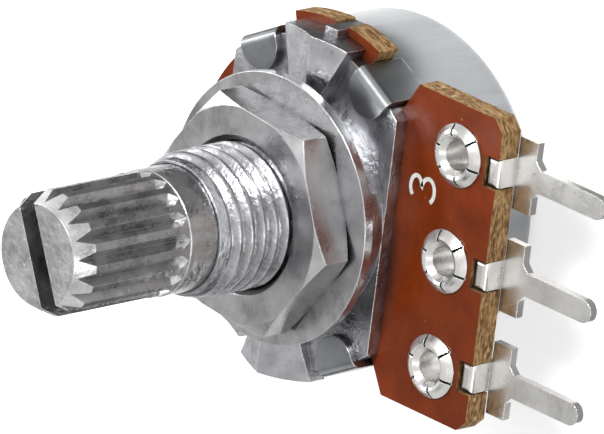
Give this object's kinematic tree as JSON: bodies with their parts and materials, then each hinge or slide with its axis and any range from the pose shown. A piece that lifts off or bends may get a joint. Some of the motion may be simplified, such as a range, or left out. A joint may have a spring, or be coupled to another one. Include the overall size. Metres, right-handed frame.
{
  "type": "rotary potentiometer",
  "caption": "Panel-mount rotary potentiometer with a knurled split shaft, threaded bushing with nut and washer, round steel can and a riveted terminal board with straight pins.",
  "frame": {"origin": "centre of the can's flat back", "axes": "+Z along the shaft towards its tip, -Y from the shaft towards the terminal pins, +X towards terminal 3"},
  "size_m": [0.0172, 0.0253, 0.024],
  "materials": {
    "zinc_casting": "satin grey die-cast zinc",
    "zinc_shaft": "satin zinc-plated bar",
    "nickel_nut": "bright nickel plate",
    "nickel_washer": "bright nickel plate",
    "steel_can": "satin drawn steel",
    "phenolic": "glossy brown phenolic laminate",
    "tinned": "tinned brass",
    "carbon_film": "matt black resistive ink",
    "silver_film": "matt silver ink",
    "carrier_plastic": "black moulded nylon",
    "spring_bronze": "phosphor bronze"
  },
  "bodies": {
    "housing": {"front_plate": "zinc_casting", "wafer": "phenolic", "rear_cover": "steel_can", "carbon_track": "carbon_film", "collector_ring": "silver_film", "end_pad_1": "silver_film", "end_pad_3": "silver_film", "rivet_1": "tinned", "rivet_2": "tinned", "rivet_3": "tinned", "terminal_1": "tinned", "terminal_2": "tinned", "terminal_3": "tinned"},
    "rotor": {"shaft": "zinc_shaft", "wiper_carrier": "carrier_plastic", "wiper_spring": "spring_bronze"},
    "washer": {"flat_washer": "nickel_washer"},
    "nut": {"hex_nut": "nickel_nut"}
  },
  "joints": [
    {"name": "shaft_turn", "type": "hinge", "parent": "housing", "child": "rotor", "pos_m": [0, 0, 0.016], "axis": [0, 0, 1], "range_deg": [-177, 123]},
    {"name": "nut_turn", "type": "hinge", "parent": "washer", "child": "nut", "pos_m": [0, 0, 0.0105], "axis": [0, 0, 1], "range_deg": [0, 1800]},
    {"name": "nut_travel", "type": "slide", "parent": "housing", "child": "washer", "axis": [0, 0, 1], "range_m": [0, 0.00375]}
  ],
  "couplings": [
    {"joint": "nut_turn", "follows": "nut_travel", "rad_per_m": 8377.6}
  ]
}
